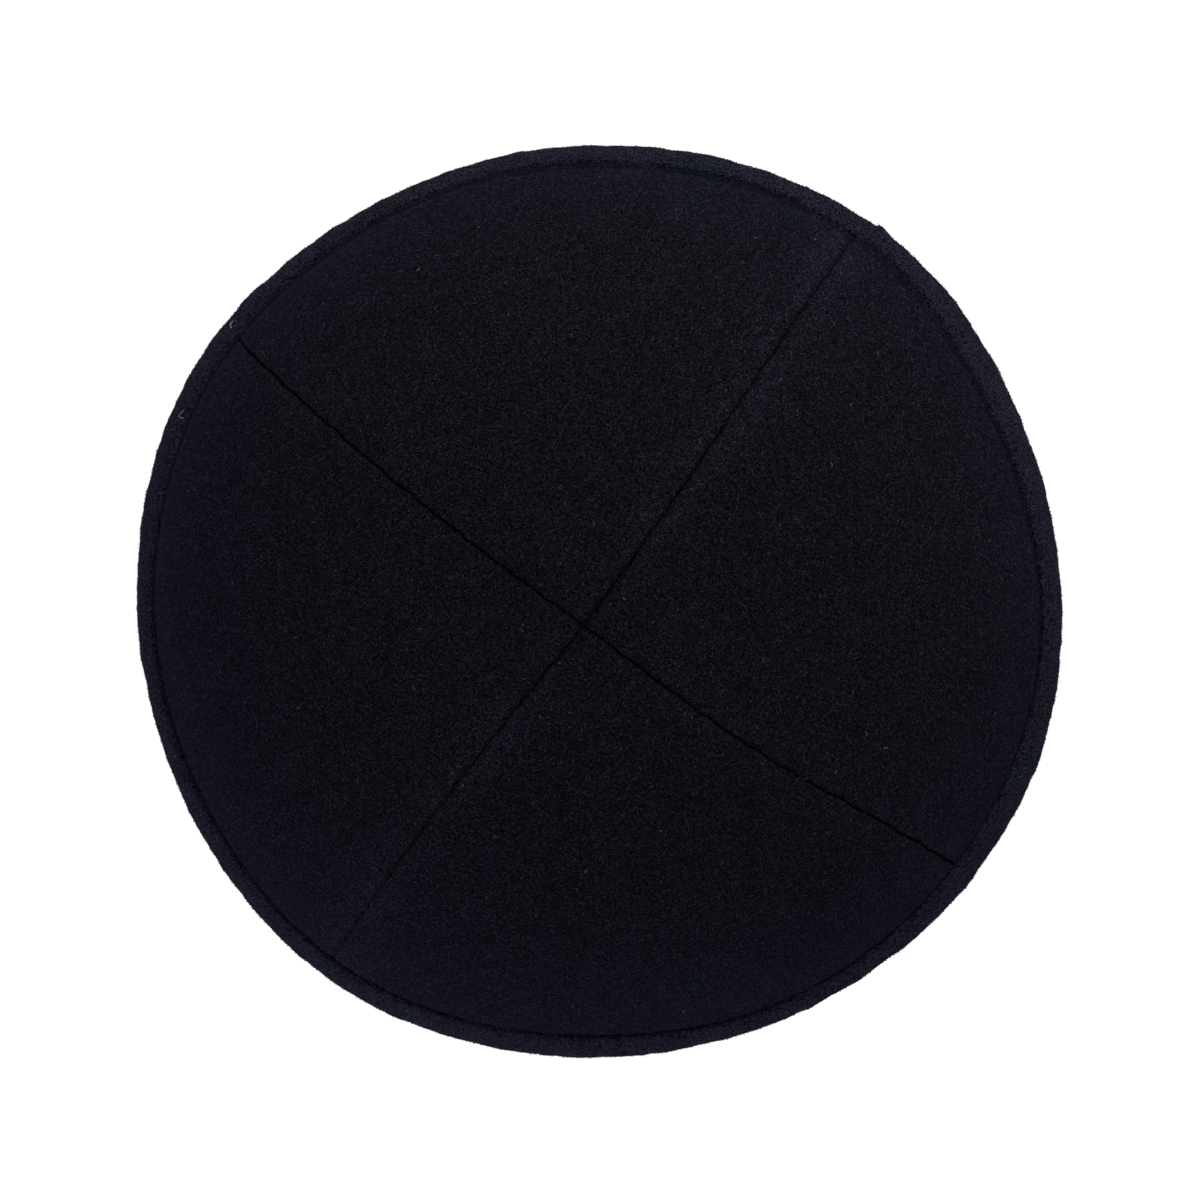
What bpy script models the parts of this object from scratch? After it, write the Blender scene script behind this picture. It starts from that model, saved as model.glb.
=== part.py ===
"""A four-panel felt skullcap, resting on its bound rim.

Four crown panels meet along seams that cross at the apex. Each panel is one layer of felt,
with its seam allowances pressed back against its inner side. A folded band of the same felt
wraps the lower edge of all four, and its outer end is lapped over its start at the back right
seam. Metres, +Z up, origin on the table below the middle of the rim, +Y towards the back.
"""

import math

import bmesh
import bpy
from mathutils import Vector

# Driving sizes of the whole cap
RIM_RADIUS = 0.0850  # mean radius of the cap's outline, over the band
CAP_HEIGHT = 0.0450  # table to the top of the crown
PEAK_SHARE = 0.12  # share of the crown's rise that falls in a straight line from the apex
SIDE_POWER = 3.0  # how late the main part falls: higher gives a flatter top, steeper sides
RIM_SHARE = 0.10  # share that falls in the last turn down to the rim
RIM_POWER = 16.0
RIM_LEAN = 0.70  # how much more the rim turns down at the back, and less at the front
LEAN_AZIMUTH = 90.0

# Felt, and the gaps between separate pieces of it
PANEL_CLOTH = 0.0013
BAND_CLOTH = 0.0010
CLEARANCE = 0.0003
SEAM_GAP = 0.0003

# Seams and the panels between them
SEAM_ROLL_DEPTH = 0.0006  # how far a panel's edge turns down into its seam
SEAM_ROLL_WIDTH = 0.0014
PANEL_SAG = 0.0010  # how far the middle of a panel lies below the ridge of its seams
RIDGE_WIDTH = 0.0140  # distance from a seam at which most of the sag is reached
ALLOWANCE_WIDTH = 0.0050  # second layer of cloth inside, along each seam
ALLOWANCE_CLOTH = 0.0011
ALLOWANCE_STEP = 0.0004  # plan width of the step at the allowance's edge

# Rim band, measured up the slope from the crown's lower edge
BAND_REACH = 0.0053
BAND_INNER_REACH = 0.0070
BAND_PUFF = 0.0003  # extra fullness of the band halfway up its outer side
FOLD_PRESS = 0.30  # share of the band's cloth that the table presses flat under the fold

# Lapped end of the band, at the back right seam
LAP_LENGTH = 0.0240
LAP_RAMP = 0.0050  # stretch over which the lower end makes the upper one climb
LAP_RISE = 0.0006
LAP_END_FACE = 0.0003

# One row for each seam, counter-clockwise from the back right. "turn" is how far its rim end
# lies from the true quarter, in degrees. "bow" and "ess" are its sideways wander on the way
# down from the apex, once and twice curved, as shares of the rim's radius.
SEAMS = (
    {"name": "back_right", "turn": 1.2, "bow": -0.001, "ess": -0.003},
    {"name": "back_left", "turn": -0.6, "bow": 0.001, "ess": 0.004},
    {"name": "front_left", "turn": -1.0, "bow": -0.012, "ess": 0.000},
    {"name": "front_right", "turn": 0.9, "bow": -0.004, "ess": -0.007},
)
PANELS = ("back", "left", "front", "right")  # each starts at the seam of the same place

# Waves of the outline round the rim: an oval, four soft corners near the seams, and finer
# unevenness. "share" is of the rim's radius, and "peak" is the azimuth of one crest.
RIM_WAVES = (
    {"count": 2, "share": 0.0062, "peak": 4.0},
    {"count": 4, "share": 0.0085, "peak": 51.0},
    {"count": 6, "share": 0.0016, "peak": 38.0},
    {"count": 7, "share": 0.0013, "peak": 36.0},
    {"count": 8, "share": 0.0009, "peak": 1.0},
)

# Waves of the band's visible width round the rim, as shares of its reach
BAND_WAVES = (
    {"count": 1, "share": 0.10, "peak": 271.0},
    {"count": 2, "share": 0.09, "peak": 16.0},
    {"count": 3, "share": 0.08, "peak": 15.0},
    {"count": 4, "share": 0.06, "peak": 53.0},
    {"count": 5, "share": 0.05, "peak": 28.0},
    {"count": 6, "share": 0.08, "peak": 20.0},
)

# Fineness of the faceted solids
OPEN_ROWS = 14  # rows of a panel from the apex to the band
BOUND_ROWS = 2  # rows of a panel inside the band
ROW_CROWDING = 1.25  # over 1, rows lie closer together towards the rim
MIDDLE_COLUMNS = 18
BAND_STATIONS = 96
FOLD_STEPS = 10  # outer side of the band's fold
FOLD_INNER_STEPS = 4
NORMAL_STEP = 0.0002  # sampling distance for the crown's normals
WELD_DISTANCE = 0.00001

# Named finishes
FELT_COLOUR = (0.010, 0.010, 0.016, 1.0)
FELT_ROUGHNESS = 0.95

# Sizes that follow
CHANNEL = PANEL_CLOTH / 2 + CLEARANCE  # wall's middle to the band's cloth, on either side
FOLD_RADIUS = CHANNEL + BAND_CLOTH
FOLD_HEIGHT = FOLD_RADIUS - FOLD_PRESS * BAND_CLOTH
EDGE_FALL = PEAK_SHARE + (1 - PEAK_SHARE - RIM_SHARE) * SIDE_POWER + RIM_SHARE * RIM_POWER
EDGE_SLOPE = math.atan(EDGE_FALL * (CAP_HEIGHT - FOLD_HEIGHT) / (RIM_RADIUS - FOLD_RADIUS))
EDGE_HEIGHT = FOLD_HEIGHT + PANEL_CLOTH / 2 * math.cos(EDGE_SLOPE)
EDGE_INSET = FOLD_RADIUS - PANEL_CLOTH / 2 * math.sin(EDGE_SLOPE)
LAP_END = math.radians(45 + SEAMS[0]["turn"]) - LAP_END_FACE / RIM_RADIUS


def waves(table, azimuth):
    """Sum of a table's waves at an azimuth, as a share."""
    return sum(
        row["share"] * math.cos(row["count"] * (azimuth - math.radians(row["peak"])))
        for row in table
    )


def edge_radius(azimuth):
    """Plan radius of the crown's outer surface at its lower edge."""
    return RIM_RADIUS * (1 + waves(RIM_WAVES, azimuth)) - EDGE_INSET


def seam_azimuth(index, share):
    """Azimuth of a seam at a share of the way from the apex to the crown's edge."""
    seam = SEAMS[index % len(SEAMS)]
    along = max(share, 0.001)
    wander = seam["bow"] * math.sin(math.pi * along) + seam["ess"] * math.sin(2 * math.pi * along)
    return math.radians(45 + 90 * index + seam["turn"]) + wander / along


def seam_distance(share, azimuth, radius):
    """Plan distance to the nearest seam."""
    turns = (azimuth - seam_azimuth(index, share) for index in range(len(SEAMS)))
    return radius * min(abs(math.remainder(turn, 2 * math.pi)) for turn in turns)


def crown_fall(share, azimuth):
    """Share of the crown's rise that is lost at a share of the way from the apex."""
    rim = RIM_SHARE * (1 + RIM_LEAN * math.cos(azimuth - math.radians(LEAN_AZIMUTH)))
    side = 1 - PEAK_SHARE - rim
    return PEAK_SHARE * share + side * share**SIDE_POWER + rim * share**RIM_POWER


def crown_point(x, y):
    """Point of the crown's outer surface above a place in plan, before its seams roll in."""
    radius = math.hypot(x, y)
    azimuth = math.atan2(y, x)
    share = radius / edge_radius(azimuth)
    nearness = math.exp(-((seam_distance(share, azimuth, radius) / RIDGE_WIDTH) ** 2))
    sag = PANEL_SAG * (1 - nearness) * (1 - share**4)
    drop = (CAP_HEIGHT - EDGE_HEIGHT) * crown_fall(share, azimuth) + sag
    return Vector((x, y, CAP_HEIGHT - drop))


def crown_normal(x, y):
    """Outward normal of the crown at a place in plan."""
    along_x = crown_point(x + NORMAL_STEP, y) - crown_point(x - NORMAL_STEP, y)
    along_y = crown_point(x, y + NORMAL_STEP) - crown_point(x, y - NORMAL_STEP)
    return along_x.cross(along_y).normalized()


def plan_point(share, azimuth):
    radius = share * edge_radius(azimuth)
    return radius * math.cos(azimuth), radius * math.sin(azimuth)


def share_above_edge(azimuth, up_slope):
    """Share of the way from the apex at a distance up the slope from the crown's edge."""
    radius = edge_radius(azimuth)
    level = max(up_slope, NORMAL_STEP) * math.cos(EDGE_SLOPE) / radius
    drop = (CAP_HEIGHT - EDGE_HEIGHT) * (1 - crown_fall(1 - level, azimuth))
    return 1 - up_slope * math.cos(math.atan2(drop, level * radius)) / radius


def material(name, colour, roughness):
    made = bpy.data.materials.new(name)
    made.use_nodes = True
    shader = made.node_tree.nodes["Principled BSDF"]
    shader.inputs["Base Color"].default_value = colour
    shader.inputs["Roughness"].default_value = roughness
    shader.inputs["Metallic"].default_value = 0.0
    made.diffuse_color = colour
    return made


def mesh_object(name, shape, collection, finish):
    """An object made from a bmesh, smooth but for its sharp corners."""
    mesh = bpy.data.meshes.new(name)
    shape.to_mesh(mesh)
    shape.free()
    mesh.shade_smooth()
    mesh.set_sharp_from_angle(angle=math.radians(50))
    mesh.materials.append(finish)
    made = bpy.data.objects.new(name, mesh)
    collection.objects.link(made)
    return made


def panel_rows():
    """Shares from the apex down to the crown's edge, with a row where the band begins."""
    splayed_side = math.radians(LEAN_AZIMUTH + 180)
    band_top = share_above_edge(splayed_side, BAND_INNER_REACH + CLEARANCE + SEAM_ROLL_DEPTH)
    open_part = [
        band_top * (1 - (1 - row / OPEN_ROWS) ** ROW_CROWDING) for row in range(OPEN_ROWS + 1)
    ]
    bound_part = [
        band_top + (1 - band_top) * row / BOUND_ROWS for row in range(1, BOUND_ROWS + 1)
    ]
    return open_part, bound_part


def panel_columns(width):
    """Distances from one seam across a panel, crowded where it rolls in and doubles."""
    near = (0.0, 0.4 * SEAM_ROLL_WIDTH, SEAM_ROLL_WIDTH, ALLOWANCE_WIDTH)
    near += (ALLOWANCE_WIDTH + ALLOWANCE_STEP,)
    narrowest = 2.6 * near[-1]
    squeeze = min(1, width / narrowest)
    left = [place * squeeze for place in near]
    right = [width - place for place in reversed(left)]
    span = right[0] - left[-1]
    middle = [left[-1] + span * step / MIDDLE_COLUMNS for step in range(1, MIDDLE_COLUMNS)]
    return left + middle + right


def make_panel(index, collection, finish):
    """One crown panel: a grid eased onto the crown between two seams, then given its cloth."""
    open_part, bound_part = panel_rows()
    rows = open_part + bound_part
    columns = len(panel_columns(RIM_RADIUS))
    middle_azimuth = math.radians(90 * (index + 1))
    away = SEAM_GAP / 2 / math.sin(math.radians(45))
    shape = bmesh.new()
    bmesh.ops.create_grid(shape, x_segments=columns - 1, y_segments=len(rows) - 1, size=0.5)
    doubled = []
    for vertex in shape.verts:
        column = round((0.5 - vertex.co.x) * (columns - 1))
        row = round((vertex.co.y + 0.5) * (len(rows) - 1))
        share = rows[row]
        first, last = seam_azimuth(index, share), seam_azimuth(index + 1, share)
        middle_radius = share * edge_radius((first + last) / 2)
        width = max(middle_radius * (last - first), WELD_DISTANCE)
        place = panel_columns(width)[column]
        x, y = plan_point(share, first + (last - first) * place / width)
        x += away * math.cos(middle_azimuth)
        y += away * math.sin(middle_azimuth)
        from_seam = min(place, width - place)
        is_open = row < len(open_part) - 1
        roll = max(0, 1 - from_seam / SEAM_ROLL_WIDTH) ** 2 if is_open else 0
        vertex.co = crown_point(x, y) - crown_normal(x, y) * SEAM_ROLL_DEPTH * roll
        if is_open and column not in range(4, columns - 4):
            doubled.append(vertex.index)
    name = "crown_panel_" + PANELS[index]
    made = mesh_object(name, shape, collection, finish)
    layers = made.vertex_groups.new(name="doubled_cloth")
    layers.add(doubled, 1.0, "REPLACE")
    tip = made.modifiers.new("Tip", "WELD")
    tip.merge_threshold = WELD_DISTANCE
    cloth = made.modifiers.new("Cloth", "SOLIDIFY")
    cloth.thickness = PANEL_CLOTH + ALLOWANCE_CLOTH
    cloth.offset = -1
    cloth.vertex_group = layers.name
    cloth.thickness_vertex_group = PANEL_CLOTH / cloth.thickness
    return made


def arc(radius, start, end, steps):
    """Points of an arc as (up the slope, outwards), with angles from the outward direction."""
    turns = (math.radians(start + (end - start) * step / steps) for step in range(steps + 1))
    return [(radius * math.sin(turn), radius * math.cos(turn)) for turn in turns]


def band_section():
    """Closed outline of the band's folded section, round the crown wall's middle line."""
    tuck = BAND_CLOTH / 2
    outer_side = [
        (BAND_REACH, CHANNEL),
        (BAND_REACH - tuck * 0.3, CHANNEL + BAND_CLOTH * 0.6),
        (BAND_REACH - tuck, FOLD_RADIUS),
        (BAND_REACH / 2, FOLD_RADIUS + BAND_PUFF),
    ]
    fold = arc(FOLD_RADIUS, 0, -180, FOLD_STEPS)
    inner_side = [
        (BAND_INNER_REACH - tuck, -FOLD_RADIUS),
        (BAND_INNER_REACH, -CHANNEL - BAND_CLOTH / 2),
        (BAND_INNER_REACH - tuck, -CHANNEL),
    ]
    channel = arc(CHANNEL, -180, 0, FOLD_INNER_STEPS)
    return outer_side + fold + inner_side + channel


def lap_height(azimuth):
    """How far the band's outer side stands off where its end is lapped over its start."""
    behind_end = (LAP_END - azimuth) * RIM_RADIUS
    if not 0 <= behind_end <= LAP_LENGTH:
        return 0.0
    ramp = min(1, (LAP_LENGTH - behind_end) / LAP_RAMP)
    return LAP_RISE * ramp * ramp * (3 - 2 * ramp)


def band_point(azimuth, up, out):
    """Place of a point of the band's section: up the slope and out from the wall's middle."""
    if out > 0 and up > 0:
        up *= 1 + waves(BAND_WAVES, azimuth)
    x, y = plan_point(share_above_edge(azimuth, max(up, 0)), azimuth)
    normal = crown_normal(x, y)
    level = normal.cross(Vector((0, 0, 1))).normalized()
    down_slope = normal.cross(level).normalized() * -1
    if down_slope.z > 0:
        down_slope.negate()
    if out > CHANNEL:
        out += lap_height(azimuth)
    point = crown_point(x, y) + normal * (out - PANEL_CLOTH / 2) + down_slope * max(-up, 0)
    point.z = max(point.z, 0)
    return point


def make_band(collection, finish):
    """The rim band: its section spun into a true ring, then eased onto the uneven rim."""
    shape = bmesh.new()
    section = [
        shape.verts.new((RIM_RADIUS + out, 0, up)) for up, out in band_section()
    ]
    edges = [
        shape.edges.new((section[place - 1], section[place])) for place in range(len(section))
    ]
    bmesh.ops.spin(
        shape, geom=section + edges, cent=(0, 0, 0), axis=(0, 0, 1), dvec=(0, 0, 0),
        angle=2 * math.pi, steps=BAND_STATIONS, use_merge=True,
    )
    for face_end in (LAP_END, LAP_END + LAP_END_FACE / RIM_RADIUS):
        bmesh.ops.bisect_plane(
            shape, geom=shape.verts[:] + shape.edges[:] + shape.faces[:],
            plane_co=(0, 0, 0), plane_no=(-math.sin(face_end), math.cos(face_end), 0),
        )
    for vertex in shape.verts:
        x, y, up = vertex.co
        vertex.co = band_point(math.atan2(y, x), up, math.hypot(x, y) - RIM_RADIUS)
    bmesh.ops.remove_doubles(shape, verts=shape.verts, dist=WELD_DISTANCE)
    bmesh.ops.recalc_face_normals(shape, faces=shape.faces)
    return mesh_object("rim_band", shape, collection, finish)


def main():
    for old in list(bpy.data.objects):
        bpy.data.objects.remove(old, do_unlink=True)
    cap = bpy.data.collections.new("Skullcap")
    bpy.context.scene.collection.children.link(cap)
    crown_felt = material("Crown felt", FELT_COLOUR, FELT_ROUGHNESS)
    band_felt = material("Band felt", FELT_COLOUR, FELT_ROUGHNESS)
    stand = bpy.data.objects.new("skullcap_frame", None)
    cap.objects.link(stand)
    pieces = [make_panel(index, cap, crown_felt) for index in range(len(PANELS))]
    pieces.append(make_band(cap, band_felt))
    for piece in pieces:
        piece.parent = stand


main()
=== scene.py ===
# A navy-black wool felt skullcap, seen from above on white: four crown panels, a folded rim
# band, its stitches, the felt's nap and a few bits of lint. Metres, +Z up, +Y to the back.
import math

import bmesh
import bpy
import numpy as np
from mathutils import Matrix, Vector, noise
from mathutils.bvhtree import BVHTree


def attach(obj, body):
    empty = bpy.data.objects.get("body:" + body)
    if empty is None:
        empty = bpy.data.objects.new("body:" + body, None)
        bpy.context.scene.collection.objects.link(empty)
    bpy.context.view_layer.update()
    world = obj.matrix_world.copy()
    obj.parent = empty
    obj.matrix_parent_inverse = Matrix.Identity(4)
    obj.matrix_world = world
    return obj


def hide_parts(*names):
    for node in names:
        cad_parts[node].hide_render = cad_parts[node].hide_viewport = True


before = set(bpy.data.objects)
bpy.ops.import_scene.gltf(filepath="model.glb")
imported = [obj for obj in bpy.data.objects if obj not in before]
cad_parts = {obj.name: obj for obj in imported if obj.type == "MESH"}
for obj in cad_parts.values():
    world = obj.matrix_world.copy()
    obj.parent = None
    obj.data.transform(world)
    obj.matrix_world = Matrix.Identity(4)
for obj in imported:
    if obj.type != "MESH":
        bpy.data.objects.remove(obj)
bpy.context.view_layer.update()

print("frame loaded:", sorted(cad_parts))

# The cap's shape, as the CAD has it

cap = {
    "rimRadius": 0.0850,
    "height": 0.0450,
    "peakShare": 0.12,  # share of the rise that falls in a straight line from the apex
    "sidePower": 3.0,
    "rimShare": 0.10,  # share that falls in the last turn down to the rim
    "rimPower": 16.0,
    "rimLean": 0.70,  # the rim turns down more at the back
    "leanAzimuth": 90.0,
    "cloth": 0.0013,
    "bandCloth": 0.0010,
    "clearance": 0.0003,
    "foldPress": 0.30,
    "panelSag": 0.0010,  # panel middles lie below the ridges of the seams
    "ridgeWidth": 0.0140,
}

# turn in degrees; bow, ess and wave are shares of the rim radius; the roll is how wide and deep
# the cloth turns down into the seam, in metres; slotInside and slotOutside say how far the dark
# line between the edges stands open near the apex and near the rim; shade is how far beside it
# the felt and hair are darkened by painted shade, and shadeDepth how dark; rubbed says how much
# lighter the felt is over the seam's allowances
seams = [  # back right, back left, front left, front right
    {"turn": 1.2, "bow": -0.001, "ess": -0.003, "wave": 0.000, "rollWidth": 0.0020,
     "rollDepth": 0.0010, "slotInside": 0.5, "slotOutside": 0.25, "shade": 0.0015,
     "shadeDepth": 0.55, "rubbed": 1.2},
    {"turn": -0.8, "bow": 0.004, "ess": 0.002, "wave": 0.000, "rollWidth": 0.0010,
     "rollDepth": 0.0007, "slotInside": 0.6, "slotOutside": 0.75, "shade": 0.0006,
     "shadeDepth": 0.95, "rubbed": 0.0},
    {"turn": -0.6, "bow": -0.015, "ess": 0.000, "wave": 0.000, "rollWidth": 0.0014,
     "rollDepth": 0.0007, "slotInside": 0.45, "slotOutside": 0.0, "shade": 0.0011,
     "shadeDepth": 0.55, "rubbed": 1.0},
    {"turn": 0.4, "bow": -0.003, "ess": -0.007, "wave": 0.003, "rollWidth": 0.0012,
     "rollDepth": 0.0007, "slotInside": 0.6, "slotOutside": 0.8, "shade": 0.0007,
     "shadeDepth": 0.80, "rubbed": 0.3},
]

# small wander of the sewing: share of the rim radius, waves along a seam, start
sewingWander = [(0.0010, 9.7, 0.4), (0.0008, 15.4, 2.1), (0.0007, 24.0, 4.0)]
wanderShift = 1.7  # how far the start moves on from one seam to the next
wanderBegins = 0.125  # the seams run straight through the apex up to about this share

# the outline round the rim: number of waves, share of the radius, azimuth of a crest
rimWaves = [(2, 0.0062, 4), (4, 0.0085, 51), (6, 0.0016, 38), (7, 0.0013, 36), (8, 0.0009, 1)]

channel = cap["cloth"] / 2 + cap["clearance"]
foldRadius = channel + cap["bandCloth"]
foldHeight = foldRadius - cap["foldPress"] * cap["bandCloth"]
edgeFall = (
    cap["peakShare"]
    + (1 - cap["peakShare"] - cap["rimShare"]) * cap["sidePower"]
    + cap["rimShare"] * cap["rimPower"]
)
edgeSlope = math.atan(edgeFall * (cap["height"] - foldHeight) / (cap["rimRadius"] - foldRadius))
edgeHeight = foldHeight + cap["cloth"] / 2 * math.cos(edgeSlope)
edgeInset = foldRadius - cap["cloth"] / 2 * math.sin(edgeSlope)


def smoothStep(value):
    value = np.clip(value, 0, 1)
    return value * value * (3 - 2 * value)


def waveSum(table, azimuth):
    return sum(share * np.cos(count * (azimuth - math.radians(peak)))
               for count, share, peak in table)


def edgeRadius(azimuth):
    return cap["rimRadius"] * (1 + waveSum(rimWaves, azimuth)) - edgeInset


def seamAzimuth(index, share):
    seam = seams[index % 4]
    along = np.maximum(share, 0.001)
    wander = (seam["bow"] * np.sin(np.pi * along) + seam["ess"] * np.sin(2 * np.pi * along)
              + seam["wave"] * np.sin(3 * np.pi * along))
    for size, count, start in sewingWander:
        start = start + wanderShift * (index % 4)
        wander = wander + size * np.sin(2 * np.pi * count * along + start)
    bend = wander / along * smoothStep(share / wanderBegins)
    return math.radians(45 + 90 * index + seam["turn"]) + bend


def crownFall(share, azimuth):
    rim = cap["rimShare"] * (
        1 + cap["rimLean"] * np.cos(azimuth - math.radians(cap["leanAzimuth"])))
    side = 1 - cap["peakShare"] - rim
    return (cap["peakShare"] * share + side * share ** cap["sidePower"]
            + rim * share ** cap["rimPower"])


def crownPoints(x, y):
    # the crown's outer surface above places in plan
    radius, azimuth = np.hypot(x, y), np.arctan2(y, x)
    share = radius / edgeRadius(azimuth)
    turns = [azimuth - seamAzimuth(index, share) for index in range(4)]
    nearest = np.min([np.abs(np.arctan2(np.sin(t), np.cos(t))) for t in turns], axis=0) * radius
    nearness = np.exp(-((nearest / cap["ridgeWidth"]) ** 2))
    sag = cap["panelSag"] * (1 - nearness) * (1 - share ** 4)
    drop = (cap["height"] - edgeHeight) * crownFall(share, azimuth) + sag
    return np.stack([x, y, cap["height"] - drop], axis=-1)


def crownNormals(x, y, step=0.0002):
    alongX = crownPoints(x + step, y) - crownPoints(x - step, y)
    alongY = crownPoints(x, y + step) - crownPoints(x, y - step)
    normals = np.cross(alongX, alongY)
    return normals / np.linalg.norm(normals, axis=-1, keepdims=True)


def shareAboveEdge(azimuth, upSlope):
    # share of the way from the apex, at a distance up the slope from the crown's lower edge
    radius = edgeRadius(azimuth)
    level = np.maximum(upSlope, 0.0002) * math.cos(edgeSlope) / radius
    drop = (cap["height"] - edgeHeight) * (1 - crownFall(1 - level, azimuth))
    return 1 - upSlope * np.cos(np.arctan2(drop, level * radius)) / radius


def planPoints(share, azimuth):
    radius = share * edgeRadius(azimuth)
    return radius * np.cos(azimuth), radius * np.sin(azimuth)


def lumps(points, size, seed):
    # smooth unevenness from about -1 to 1, with lumps of that size in metres
    shift = Vector((seed * 7.3, seed * 3.1, seed * 5.7))
    places = points.reshape(-1, 3).tolist()
    values = [noise.noise(Vector(place) / size + shift) for place in places]
    return np.array(values).reshape(points.shape[:-1])


weldDistance = 0.00001  # points nearer than this are one, as where a panel's rows meet


def meshObject(name, points, faces, finishes, marks=None, finishOf=None):
    # marks: values for each point, by name, that the hair and the felt's colour read;
    # finishOf: which of the finishes each face has
    mesh = bpy.data.meshes.new(name)
    mesh.from_pydata(points.reshape(-1, 3).tolist(), [], faces)
    for finish in finishes:
        mesh.materials.append(finish)
    if finishOf:
        mesh.polygons.foreach_set("material_index", finishOf)
    for label, values in (marks or {}).items():
        layer = mesh.attributes.new(label, "FLOAT", "POINT")
        layer.data.foreach_set("value", np.asarray(values, np.float32).ravel())
    shape = bmesh.new()
    shape.from_mesh(mesh)
    bmesh.ops.remove_doubles(shape, verts=shape.verts, dist=weldDistance)
    bmesh.ops.recalc_face_normals(shape, faces=shape.faces)
    shape.to_mesh(mesh)
    shape.free()
    mesh.shade_smooth()
    made = bpy.data.objects.new(name, mesh)
    bpy.context.scene.collection.objects.link(made)
    return made


# Colours and materials


def linearColour(hexValue):
    channels = [int(hexValue[place:place + 2], 16) / 255 for place in (1, 3, 5)]
    return [c / 12.92 if c <= 0.04045 else ((c + 0.055) / 1.055) ** 2.4 for c in channels] + [1.0]


def addNode(tree, kind, sockets=None, **settings):
    # gives back the node's first live output, ready to be linked on
    node = tree.nodes.new(kind)
    for name, value in settings.items():
        setattr(node, name, value)
    for name, value in (sockets or {}).items():
        socket = next(s for s in node.inputs if s.enabled and s.name == name)
        if isinstance(value, bpy.types.NodeSocket):
            tree.links.new(value, socket)
        else:
            socket.default_value = value
    return next((s for s in node.outputs if s.enabled), node)


def newMaterial(name, look):
    material = bpy.data.materials.new(name)
    material.use_nodes = True
    shader = material.node_tree.nodes["Principled BSDF"]
    shader.inputs["Roughness"].default_value = look["roughness"]
    shader.inputs["Specular IOR Level"].default_value = look["gloss"]
    shader.inputs["Sheen Weight"].default_value = look["sheen"]
    shader.inputs["Sheen Roughness"].default_value = look["sheenRoughness"]
    shader.inputs["Sheen Tint"].default_value = linearColour(look["sheenColour"])
    return material, material.node_tree, shader


wearDyeAndShade = {
    "mostRubbed": 1.5,
    "castSize": 1 / 45,  # the dye's cast changes over a few centimetres of cloth
    "violetCast": "#fff7fb",
    "greenCast": "#f7fffd",
    # painted shade: how much of its colour the felt keeps where the shade is deepest
    "inShadow": 0.12,  # share of its colour that the felt keeps deep in a seam
}


def wornDyedShadedTone(tree, colour, strength):
    # felt over a seam's allowances is pressed and rubbed, which lightens it a little, and where
    # the felt and its hair dip into a seam or the band's ditch, painted shade darkens them
    rubbed = addNode(tree, "ShaderNodeAttribute", attribute_name="rubbed").node.outputs["Fac"]
    shadow = addNode(tree, "ShaderNodeAttribute", attribute_name="shadow").node.outputs["Fac"]
    lighter = addNode(tree, "ShaderNodeMapRange", {
        "Value": rubbed, "From Max": wearDyeAndShade["mostRubbed"], "To Min": 1.0,
        "To Max": 1 + wearDyeAndShade["mostRubbed"] * strength})
    markedTone = addNode(tree, "ShaderNodeVectorMath", {"Vector": colour, "Scale": lighter},
                   operation="SCALE")
    # the dye varies slowly over the cloth, between a violet and a green cast
    place = addNode(tree, "ShaderNodeTexCoord").node.outputs["Object"]
    slow = addNode(tree, "ShaderNodeTexNoise", {
        "Vector": place, "Scale": 1 / wearDyeAndShade["castSize"], "Detail": 1.0})
    between = addNode(tree, "ShaderNodeMapRange", {
        "Value": slow, "From Min": 0.35, "From Max": 0.65})
    cast = addNode(tree, "ShaderNodeMix", {
        "Factor": between, "A": linearColour(wearDyeAndShade["violetCast"]),
        "B": linearColour(wearDyeAndShade["greenCast"])}, data_type="RGBA").node.outputs[2]
    markedTone = addNode(tree, "ShaderNodeVectorMath", {"Vector": markedTone}, operation="MULTIPLY")
    tree.links.new(cast, markedTone.node.inputs[1])
    # painted shade: the colour is darkened as far as the shadow mark says
    lit = addNode(tree, "ShaderNodeMapRange", {
        "Value": shadow, "From Max": 1.0, "To Min": 1.0, "To Max": wearDyeAndShade["inShadow"]})
    return addNode(tree, "ShaderNodeVectorMath", {"Vector": markedTone, "Scale": lit},
                   operation="SCALE")


def feltMaterial(name, look):
    # Milled and cropped wool felt: its hair lies every way, so it looks matt and finely
    # speckled, without a weave, and lightens to blue where it is seen at a slant.
    material, tree, shader = newMaterial(name, look)
    place = addNode(tree, "ShaderNodeTexCoord").node.outputs["Object"]
    grain = addNode(tree, "ShaderNodeTexNoise", {
        "Vector": place, "Scale": 1 / look["grainSize"], "Detail": 3.0, "Roughness": 0.65})
    mottle = addNode(tree, "ShaderNodeTexNoise", {
        "Vector": place, "Scale": 1 / look["mottleSize"], "Detail": 2.0})
    speckle = addNode(tree, "ShaderNodeMapRange", {
        "Value": grain, "From Min": 0.41, "From Max": 0.60})
    felt = addNode(tree, "ShaderNodeMix", {
        "Factor": speckle, "A": linearColour(look["hollowColour"]),
        "B": linearColour(look["hairColour"])}, data_type="RGBA").node.outputs[2]
    patches = addNode(tree, "ShaderNodeMapRange", {
        "Value": mottle, "From Min": 0.3, "From Max": 0.7,
        "To Min": 1 - look["mottle"], "To Max": 1 + look["mottle"]})
    patched = addNode(tree, "ShaderNodeVectorMath", {
        "Vector": felt, "Scale": patches}, operation="SCALE")
    # rubbing lightens it, the dye's cast tints it and painted shade darkens it in seams and the
    # ditch
    markedTone = wornDyedShadedTone(tree, patched, look["rubbing"])
    relief = addNode(tree, "ShaderNodeBump", {
        "Height": grain, "Strength": look["relief"], "Distance": look["grainSize"] / 2})
    tree.links.new(markedTone, shader.inputs["Base Color"])
    tree.links.new(relief, shader.inputs["Normal"])
    return material


dyeSpread = 17.0  # how often the dye goes from violet to green over the range of tones


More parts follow.
